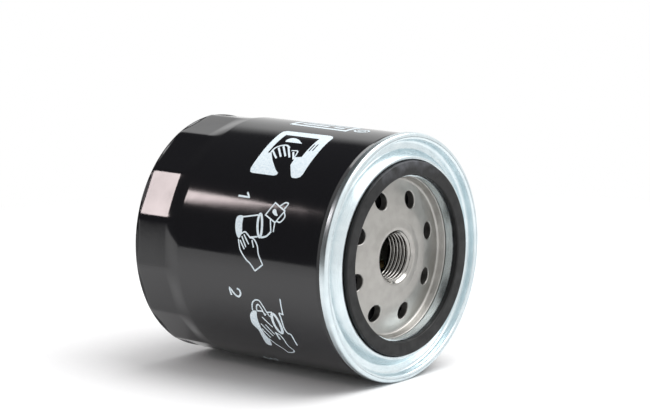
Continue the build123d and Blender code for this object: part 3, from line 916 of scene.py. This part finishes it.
# A collar round the hub, and the thin flap that lies over the inlet holes, as (x, radius)
valve_outline = rounded(
    [
        (-11.05, 10.8),
        (-11.05, 12.65),
        (-6.55, 12.65),
        (-6.55, 14.25),
        (-5.55, 26.6),
        (-5.82, 28.2),
        (-7.02, 28.2),
        (-6.75, 26.6),
        (-7.75, 14.25),
        (-12.25, 14.25),
        (-12.25, 10.8),
    ],
    [0.2, 0.2, 0.3, 0.6, 1.5, 0.3, 0.3, 1.5, 0.8, 0.3, 0.2],
)
rubber_flap = make_piece("rubber_flap", [turned(valve_outline, 192)], valve_rubber)
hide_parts("anti_drain_valve")
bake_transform(rubber_flap)

coil_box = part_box("bypass_spring")
coil_start = coil_box[0].x / MM + COIL_WIRE
coil_end = coil_box[1].x / MM - COIL_WIRE


def coil_rise(share):
    """Share of the coil's height: its end turns lie almost flat and the rest rises evenly."""
    if share < COIL_END_TURN:
        return COIL_END_RISE * share
    if share > 1 - COIL_END_TURN:
        return 1 - COIL_END_RISE * (1 - share)
    low = COIL_END_RISE * COIL_END_TURN
    return low + (1 - 2 * low) * (share - COIL_END_TURN) / (1 - 2 * COIL_END_TURN)


coil_points = []
for step in range(COIL_STEPS + 1):
    share = step / COIL_STEPS
    angle = 2 * math.pi * COIL_TURNS * share
    x = coil_start + (coil_end - coil_start) * coil_rise(share)
    coil_points.append(Vector((x, COIL_RADIUS * math.cos(angle), COIL_RADIUS * math.sin(angle))))
vertices = []
for step, point in enumerate(coil_points):
    ahead = coil_points[min(step + 1, COIL_STEPS)]
    behind = coil_points[max(step - 1, 0)]
    along = (ahead - behind).normalized()
    out = Vector((0, point.y, point.z)).normalized()
    up = along.cross(out).normalized()
    for side in range(WIRE_SIDES):
        turn = 2 * math.pi * side / WIRE_SIDES
        vertices.append(point + (out * math.cos(turn) + up * math.sin(turn)) * COIL_WIRE)
faces = bands(COIL_STEPS + 1, WIRE_SIDES, closed=False)
faces.append(tuple(range(WIRE_SIDES)))
faces.append(tuple(COIL_STEPS * WIRE_SIDES + side for side in range(WIRE_SIDES)))
bypass_coil = make_piece("bypass_coil", [(vertices, faces)], spring_steel, sharp=60)
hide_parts("bypass_spring")
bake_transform(bypass_coil)

# ---------------------------------------------------------------- carried-over inner pieces

inner_finishes = {
    "seam_compound": compound,
    "lower_end_cap": tinplate,
    "upper_end_cap": tinplate,
    "centre_tube": tinplate,
    "media_seam_clip": tinplate,
    "bypass_cage": tinplate,
    "bypass_valve_disc": tinplate,
    "lower_bond": plastisol,
    "upper_bond": plastisol,
    "pleated_media": paper,
    "bypass_guide_pin": spring_steel,
    "hold_down_spring": spring_steel,
    "bypass_seal": valve_rubber,
}
for node, finish in inner_finishes.items():
    node_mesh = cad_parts[node].data
    node_mesh.materials.clear()
    node_mesh.materials.append(finish)

# ---------------------------------------------------------------- printed pictures


def on_can(along, arc, height):
    """A point of the print: along the axis, and up round the wall from its front line."""
    angle = math.pi - arc / CAN_RADIUS
    radius = CAN_RADIUS + height
    return along, radius * math.cos(angle), radius * math.sin(angle)


def stroke(points, width, closed=False, height=INK_HEIGHT):
    """A printed line of even width through points on the wall."""
    corners = [Vector(point) for point in points]
    if closed:
        corners.append(corners[0])
    path = [corners[0]]
    for start, end in zip(corners, corners[1:]):
        pieces = max(1, math.ceil((end - start).length / INK_STEP))
        path += [start.lerp(end, piece / pieces) for piece in range(1, pieces + 1)]
    vertices = []
    last = len(path) - 1
    for index, point in enumerate(path):
        if closed and index in (0, last):
            before = (path[0] - path[last - 1]).normalized()
            after = (path[1] - path[0]).normalized()
        else:
            after = (path[min(index + 1, last)] - path[min(index, last - 1)]).normalized()
            before = (path[max(index, 1)] - path[max(index - 1, 0)]).normalized()
        square = Vector((-before.y - after.y, before.x + after.x))
        half = square * (width / max(square.dot(square), 1.2))
        for side in (1, -1):
            place = point + half * side
            vertices.append(on_can(place.x, place.y, height))
    faces = []
    for index in range(last):
        low = 2 * index
        faces.append((low, low + 1, low + 3, low + 2))
    return vertices, faces


def inside(point, outline):
    """Whether a point lies inside a closed outline."""
    crossings = False
    for start, end in zip(outline, outline[1:] + outline[:1]):
        if (start.y > point.y) != (end.y > point.y):
            cut = start.x + (point.y - start.y) * (end.x - start.x) / (end.y - start.y)
            crossings = crossings != (point.x < cut)
    return crossings


def patch(points, height=INK_HEIGHT):
    """A printed filled shape, cut fine enough to follow the wall."""
    corners = [Vector(point) for point in points]
    outline = []
    for start, end in zip(corners, corners[1:] + corners[:1]):
        pieces = max(1, math.ceil((end - start).length / INK_STEP))
        outline += [start.lerp(end, piece / pieces) for piece in range(pieces)]
    low = Vector((min(p.x for p in outline), min(p.y for p in outline)))
    high = Vector((max(p.x for p in outline), max(p.y for p in outline)))
    places = list(outline)
    for column in range(1, math.ceil((high.x - low.x) / INK_STEP)):
        for row in range(1, math.ceil((high.y - low.y) / INK_STEP)):
            place = low + Vector((column, row)) * INK_STEP
            clear = min((place - other).length for other in outline) > INK_STEP / 3
            if clear and inside(place, outline):
                places.append(place)
    triangles = geometry.delaunay_2d_cdt(places, [], [list(range(len(outline)))], 1, 1e-5)
    vertices = [on_can(place.x, place.y, height) for place in triangles[0]]
    return vertices, [tuple(face) for face in triangles[2]]


def ellipse(centre, half_width, half_height, lean=0.0, count=28):
    points = []
    for index in range(count):
        turn = 2 * math.pi * index / count
        x, y = half_width * math.cos(turn), half_height * math.sin(turn)
        points.append(
            (
                centre[0] + x * math.cos(lean) - y * math.sin(lean),
                centre[1] + x * math.sin(lean) + y * math.cos(lean),
            )
        )
    return points


def smooth(points, closed=False, steps=5):
    """A soft line through given points."""
    corners = [Vector(point) for point in points]
    count = len(corners)
    spans = count if closed else count - 1
    path = []
    for index in range(spans):
        ring = [corners[(index + shift) % count] for shift in (-1, 0, 1, 2)]
        if not closed:
            ring[0] = corners[max(index - 1, 0)]
            ring[3] = corners[min(index + 2, count - 1)]
        for step in range(steps):
            t = step / steps
            path.append(
                0.5
                * (
                    2 * ring[1]
                    + (ring[2] - ring[0]) * t
                    + (2 * ring[0] - 5 * ring[1] + 4 * ring[2] - ring[3]) * t * t
                    + (3 * ring[1] - ring[0] - 3 * ring[2] + ring[3]) * t * t * t
                )
            )
    if not closed:
        path.append(corners[-1])
    return path


# First picture: a hand under a filter, on a white tile
tile = [
    (-43.2, 36.6), (-42.6, 35.2), (-41.4, 34.7), (-31.0, 34.7), (-29.9, 35.2), (-29.8, 36.1),
    (-31.7, 37.4), (-35.9, 41.6), (-38.9, 45.4), (-40.4, 44.9), (-40.6, 57.2), (-24.6, 57.0),
    (-24.2, 44.9), (-27.0, 44.4), (-26.6, 42.7), (-26.5, 40.4), (-23.4, 35.6), (-22.5, 34.8),
    (-20.4, 34.8), (-19.0, 35.6), (-18.5, 37.0), (-18.6, 46.4), (-19.6, 58.8), (-20.6, 60.1),
    (-22.3, 60.6), (-42.4, 60.4), (-43.8, 59.4), (-43.9, 57.5), (-43.4, 50.5), (-43.1, 43.3),
]
dome = smooth([(-37.4, 52.4), (-37.6, 54.0), (-36.0, 55.4), (-33.0, 54.9), (-29.4, 52.4)], steps=4)
tile_parts = [
    patch(tile),
    patch(dome),
    stroke(
        smooth([(-39.2, 45.4), (-39.0, 47.9), (-37.4, 49.7), (-35.1, 50.3), (-32.8, 49.0)]),
        WIDE,
    ),
    stroke([(-39.0, 46.4), (-34.8, 42.7)], WIDE),
    stroke([(-37.6, 48.4), (-33.3, 43.7)], WIDE),
    stroke([(-36.2, 49.6), (-31.5, 44.3)], WIDE),
    stroke([(-33.6, 49.4), (-29.3, 43.9)], WIDE),
    stroke(smooth([(-30.9, 47.6), (-28.2, 47.8), (-27.4, 45.8), (-27.2, 43.6)]), THIN),
    stroke(smooth([(-29.6, 47.0), (-28.2, 45.0), (-27.0, 43.2)]), WIDE),
]
first_picture = make_piece("print_hand_tile", tile_parts, ink)
dash_parts = [
    stroke([(-23.3, 48.6), (-23.5, 52.8)], 0.5, height=BLACK_HEIGHT),
    stroke([(-21.9, 48.9), (-22.2, 53.1)], 0.5, height=BLACK_HEIGHT),
]
tile_dashes = make_piece("print_tile_dashes", dash_parts, enamel)

# Second picture: oil on the gasket, and a hand that holds the filter
second_parts = [
    stroke([(-42.9, 24.8), (-37.6, 24.7), (-39.3, 26.6)], WIDE),
    patch(
        smooth(
            [
                (-40.6, 16.9), (-37.9, 17.5), (-37.5, 14.6), (-36.9, 11.4), (-37.9, 9.2),
                (-39.5, 10.6), (-40.6, 13.6),
            ],
            closed=True,
            steps=3,
        )
    ),
    stroke([(-38.0, 17.1), (-31.0, 18.6)], THIN),
    stroke(ellipse((-29.2, 14.9), 1.05, 4.3, lean=0.22), 1.0, closed=True),
    stroke([(-32.9, 10.1), (-29.3, 10.7)], THIN),
    stroke(smooth([(-27.6, 10.6), (-25.2, 11.4), (-23.4, 13.3)]), 0.7),
    stroke([(-25.0, 17.8), (-23.6, 13.4)], THIN),
    stroke([(-22.6, 16.8), (-22.4, 13.2)], THIN),
    stroke([(-27.7, 19.0), (-24.9, 24.0), (-19.4, 21.4), (-22.5, 16.7)], THIN, closed=True),
    patch(
        smooth(
            [
                (-25.0, 20.5), (-24.6, 21.6), (-23.6, 21.5), (-22.9, 20.4), (-22.1, 19.3),
                (-23.7, 19.4),
            ],
            closed=True,
            steps=3,
        )
    ),
    stroke(smooth([(-22.4, 22.9), (-20.4, 24.5), (-18.9, 24.2), (-20.0, 22.0)]), THIN),
    stroke(smooth([(-19.6, 21.0), (-18.7, 19.2), (-20.2, 17.1), (-21.8, 17.3)]), THIN),
    stroke(
        smooth(
            [(-38.1, 8.9), (-37.6, 7.2), (-36.6, 4.8), (-33.9, 1.9), (-31.9, 0.6), (-29.6, -1.9)]
        ),
        THIN,
    ),
    stroke([(-29.6, -1.9), (-25.9, 0.8)], THIN),
    stroke(smooth([(-25.9, 0.8), (-28.1, 4.5), (-28.9, 7.4), (-30.8, 9.6), (-32.6, 10.0)]), THIN),
    stroke([(-37.3, 8.6), (-34.9, 5.5)], THIN),
    stroke([(-36.7, 10.1), (-34.2, 6.3)], THIN),
    stroke([(-35.8, 10.8), (-33.0, 7.5)], THIN),
    stroke([(-31.7, 9.2), (-30.6, 6.6)], THIN),
    stroke(smooth([(-37.0, 11.0), (-35.6, 11.8), (-34.2, 11.1), (-32.6, 9.8)]), THIN),
]
second_picture = make_piece("print_oil_and_hold", second_parts, ink)

# Third picture: a hand that turns the filter, with an arrow
third_parts = [
    stroke(
        smooth(
            [
                (-42.4, -12.9), (-42.7, -10.1), (-40.6, -12.4), (-39.1, -13.1), (-37.8, -11.9),
                (-38.0, -10.4), (-39.2, -9.8),
            ],
            steps=4,
        ),
        WIDE,
    ),
    patch(
        smooth(
            [
                (-35.6, -20.1), (-33.6, -18.2), (-32.0, -18.3), (-32.7, -21.4), (-32.8, -24.7),
                (-32.6, -28.7), (-31.8, -32.4), (-32.9, -35.9), (-35.1, -35.4), (-34.9, -31.9),
                (-34.7, -27.5), (-36.0, -25.5), (-36.5, -23.4),
            ],
            closed=True,
            steps=3,
        )
    ),
    stroke(
        smooth(
            [
                (-33.8, -18.1), (-33.0, -15.0), (-31.2, -13.4), (-29.3, -13.4), (-28.0, -15.4),
                (-26.9, -18.0), (-26.0, -19.6), (-24.7, -19.1),
            ]
        ),
        THIN,
    ),
    stroke(
        smooth([(-31.6, -17.6), (-31.2, -15.9), (-30.2, -15.1), (-29.2, -16.4), (-28.2, -19.6)]),
        THIN,
    ),
    stroke([(-31.8, -18.0), (-29.1, -17.7), (-27.7, -19.2)], THIN),
    stroke([(-26.8, -17.9), (-24.3, -17.5)], THIN),
    stroke(ellipse((-23.8, -22.6), 1.5, 4.4, lean=0.08), 1.2, closed=True),
    stroke([(-18.9, -11.2), (-19.2, -17.7), (-21.0, -17.3)], THIN),
    stroke(
        smooth(
            [
                (-21.0, -17.4), (-20.7, -19.9), (-21.0, -24.1), (-20.3, -26.5), (-18.9, -27.2),
                (-18.9, -32.8),
            ]
        ),
        0.65,
    ),
    stroke([(-30.1, -20.4), (-26.6, -24.6)], THIN),
    stroke([(-31.9, -23.8), (-28.6, -29.5)], THIN),
    stroke([(-29.8, -23.9), (-27.4, -28.4)], THIN),
    stroke([(-32.5, -26.4), (-30.4, -30.7)], THIN),
    stroke([(-26.4, -27.0), (-26.1, -30.9)], 0.8),
    stroke(smooth([(-31.8, -31.6), (-29.7, -34.7), (-27.8, -37.1), (-27.0, -39.2)]), THIN),
    stroke(
        smooth(
            [
                (-27.0, -39.2), (-24.2, -38.4), (-22.8, -36.8), (-24.0, -34.0), (-24.1, -30.5),
                (-24.8, -28.3), (-26.0, -27.6),
            ]
        ),
        THIN,
    ),
]
third_picture = make_piece("print_turn", third_parts, ink)

# Number of the next step, low on the can, and an empty label frame on top
lower_parts = [
    stroke(
        smooth(
            [
                (-45.6, -49.0), (-45.9, -50.6), (-44.6, -51.6), (-43.3, -50.8), (-42.9, -50.0),
                (-42.6, -51.2), (-41.2, -51.8), (-40.2, -50.6), (-40.6, -49.0),
            ],
            steps=4,
        ),
        WIDE,
    ),
]
lower_number = make_piece("print_lower_number", lower_parts, ink)

frame_parts = [
    stroke([(-47.0, 68.6), (-20.6, 67.6), (-20.6, 76.6), (-47.0, 77.4)], 1.5, closed=True),
    stroke([(-44.0, 71.6), (-31.0, 71.1)], 1.6),
    stroke([(-28.4, 71.0), (-23.6, 70.8)], 1.6),
    stroke([(-44.0, 74.6), (-23.6, 73.9)], 1.2),
    stroke(ellipse((-14.9, 70.2), 3.0, 2.2), 0.7, closed=True),
    stroke(ellipse((-14.9, 70.2), 1.4, 1.0), 0.6, closed=True),
]
label_frame = make_piece("print_label_frame", frame_parts, ink)

for piece in (
    first_picture,
    tile_dashes,
    second_picture,
    third_picture,
    lower_number,
    label_frame,
):
    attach(piece, "filter_body")

# ---------------------------------------------------------------- floor, lights and camera

FLOOR_LEFT = -900.0
FLOOR_RIGHT = 1100.0
FLOOR_FRONT = -430.0
FLOOR_BACK = 1300.0
FLOOR_Z = -46.5
SHADOW_REACH = 220.0
LIT_WHITE_FROM = 420.0
floor_mesh = bpy.data.meshes.new("floor")
floor_corners = [
    (FLOOR_LEFT, FLOOR_FRONT),
    (FLOOR_RIGHT, FLOOR_FRONT),
    (FLOOR_RIGHT, FLOOR_BACK),
    (FLOOR_LEFT, FLOOR_BACK),
]
floor_mesh.from_pydata(
    [(x * MM, y * MM, FLOOR_Z * MM) for x, y in floor_corners], [], [(0, 1, 2, 3)]
)
floor = bpy.data.objects.new("floor", floor_mesh)
bpy.context.scene.collection.objects.link(floor)

# Matt white paper sweep: a soft shadow near the filter, and evenly lit white further off
sweep, tree, place = start_material("matt_white_paper")
fibre = add(
    tree, "ShaderNodeTexNoise", {"Vector": place, "Scale": per_size(2), "Detail": 2.0}
).outputs["Fac"]
sweep_colour = add(
    tree,
    "ShaderNodeValToRGB",
    {"Fac": fibre, "stops": ((0.0, "#F6F6F7"), (1.0, "#FAFAFA"))},
)
paper_shader = add(
    tree,
    "ShaderNodeBsdfPrincipled",
    {"Base Color": sweep_colour.outputs[0], "Roughness": 0.9, "Specular IOR Level": 0.1},
)
lit_shader = add(tree, "ShaderNodeEmission", {"Color": linear("#FFFFFF"), "Strength": 1.0})
from_filter = add(
    tree, "ShaderNodeVectorMath", {"operation": "LENGTH", 0: place}
).outputs["Value"]
far_off = add(
    tree,
    "ShaderNodeMapRange",
    {
        "Value": from_filter,
        "From Min": SHADOW_REACH * MM,
        "From Max": LIT_WHITE_FROM * MM,
        "To Min": 0.0,
        "To Max": 1.0,
    },
).outputs[0]
shader = add(
    tree,
    "ShaderNodeMixShader",
    {0: far_off, 1: paper_shader.outputs[0], 2: lit_shader.outputs[0]},
)
finish_material(tree, shader)
floor_mesh.materials.append(sweep)

# A white studio, open to the dark room in front and on the left. Straight rays see plain
# white, glossy rays see the lit walls, and matt surfaces get an even soft fill.
UNLIT_ROOM = 0.05
SOFT_FILL = 0.6
world = bpy.data.worlds.new("studio")
bpy.context.scene.world = world
world.use_nodes = True
tree = world.node_tree
tree.nodes.clear()
rays = add(tree, "ShaderNodeLightPath", {}).outputs
heading = add(tree, "ShaderNodeTexCoord", {}).outputs["Generated"]
direction = add(tree, "ShaderNodeSeparateXYZ", {0: heading}).outputs
below_top = add(
    tree,
    "ShaderNodeMapRange",
    {"Value": direction[2], "From Min": 0.5, "From Max": 0.62, "To Min": 1.0, "To Max": 0.0},
).outputs[0]
away = add(
    tree,
    "ShaderNodeVectorMath",
    {"operation": "DOT_PRODUCT", 0: heading, 1: (0.85, 0.53, 0.0)},
).outputs["Value"]
behind = add(
    tree,
    "ShaderNodeMapRange",
    {"Value": away, "From Min": -0.5, "From Max": -0.3, "To Min": 0.0, "To Max": 1.0},
).outputs[0]
open_side = add(
    tree,
    "ShaderNodeMapRange",
    {"Value": direction[0], "From Min": -0.45, "From Max": -0.2, "To Min": 0.0, "To Max": 1.0},
).outputs[0]
walls = add(
    tree, "ShaderNodeMath", {"operation": "MAXIMUM", 0: below_top, 1: open_side}
).outputs[0]
backdrop = add(
    tree, "ShaderNodeMath", {"operation": "MULTIPLY", 0: walls, 1: behind}
).outputs[0]
room = add(
    tree,
    "ShaderNodeMath",
    {"operation": "MULTIPLY_ADD", 0: backdrop, 1: 1 - UNLIT_ROOM, 2: UNLIT_ROOM},
).outputs[0]
mirrored = add(
    tree, "ShaderNodeMath", {"operation": "MULTIPLY", 0: rays["Is Glossy Ray"], 1: room}
).outputs[0]
fill = add(
    tree,
    "ShaderNodeMath",
    {"operation": "MULTIPLY_ADD", 0: rays["Is Diffuse Ray"], 1: SOFT_FILL, 2: mirrored},
).outputs[0]
clear_rays = add(
    tree,
    "ShaderNodeMath",
    {"operation": "MAXIMUM", 0: rays["Is Camera Ray"], 1: rays["Is Transmission Ray"]},
).outputs[0]
strength = add(
    tree, "ShaderNodeMath", {"operation": "MAXIMUM", 0: clear_rays, 1: fill}
).outputs[0]
studio = add(tree, "ShaderNodeBackground", {"Color": linear("#FFFFFF"), "Strength": strength})
add(tree, "ShaderNodeOutputWorld", {"Surface": studio.outputs[0]})


def softbox(name, centre, target, width, height, power, colour):
    """A rectangular area light that faces a point."""
    data = bpy.data.lights.new(name, "AREA")
    data.shape = "RECTANGLE"
    data.size = width
    data.size_y = height
    data.energy = power
    data.color = linear(colour)[:3]
    light = bpy.data.objects.new(name, data)
    bpy.context.scene.collection.objects.link(light)
    light.location = centre
    light.rotation_euler = (Vector(target) - Vector(centre)).to_track_quat("-Z", "Y").to_euler()
    return light


softbox("overhead_softbox", (0.45, 0.42, 1.35), (0, 0, 0), 1.4, 1.4, 24, "#FFFFFF")
softbox("front_softbox", (-0.87, -0.69, 0.612), (-0.055, -0.041, 0.02), 0.13, 0.18, 1.0, "#FFF0F0")

AZIMUTH = math.radians(38.9439)
ELEVATION = math.radians(9.9026)
CAMERA_DISTANCE = 1050.0
CAMERA_RIGHT = -28.4641
CAMERA_UP = 17.8284
CAMERA_SHIFT_X = 2.75
back = Vector(
    (
        math.sin(AZIMUTH) * math.cos(ELEVATION),
        -math.cos(AZIMUTH) * math.cos(ELEVATION),
        math.sin(ELEVATION),
    )
)
right = Vector((math.cos(AZIMUTH), math.sin(AZIMUTH), 0))
up = back.cross(right)
camera_data = bpy.data.cameras.new("camera")
camera_data.sensor_width = 36.0
camera_data.lens = 157.77
camera_data.clip_start = 0.01
camera = bpy.data.objects.new("camera", camera_data)
bpy.context.scene.collection.objects.link(camera)
place = back * CAMERA_DISTANCE + right * CAMERA_RIGHT + up * CAMERA_UP
place.x += CAMERA_SHIFT_X
turn = Matrix((right, up, back)).transposed().to_4x4()
camera.matrix_world = Matrix.Translation(place * MM) @ turn
bpy.context.scene.camera = camera
bpy.context.scene.view_settings.view_transform = "Standard"
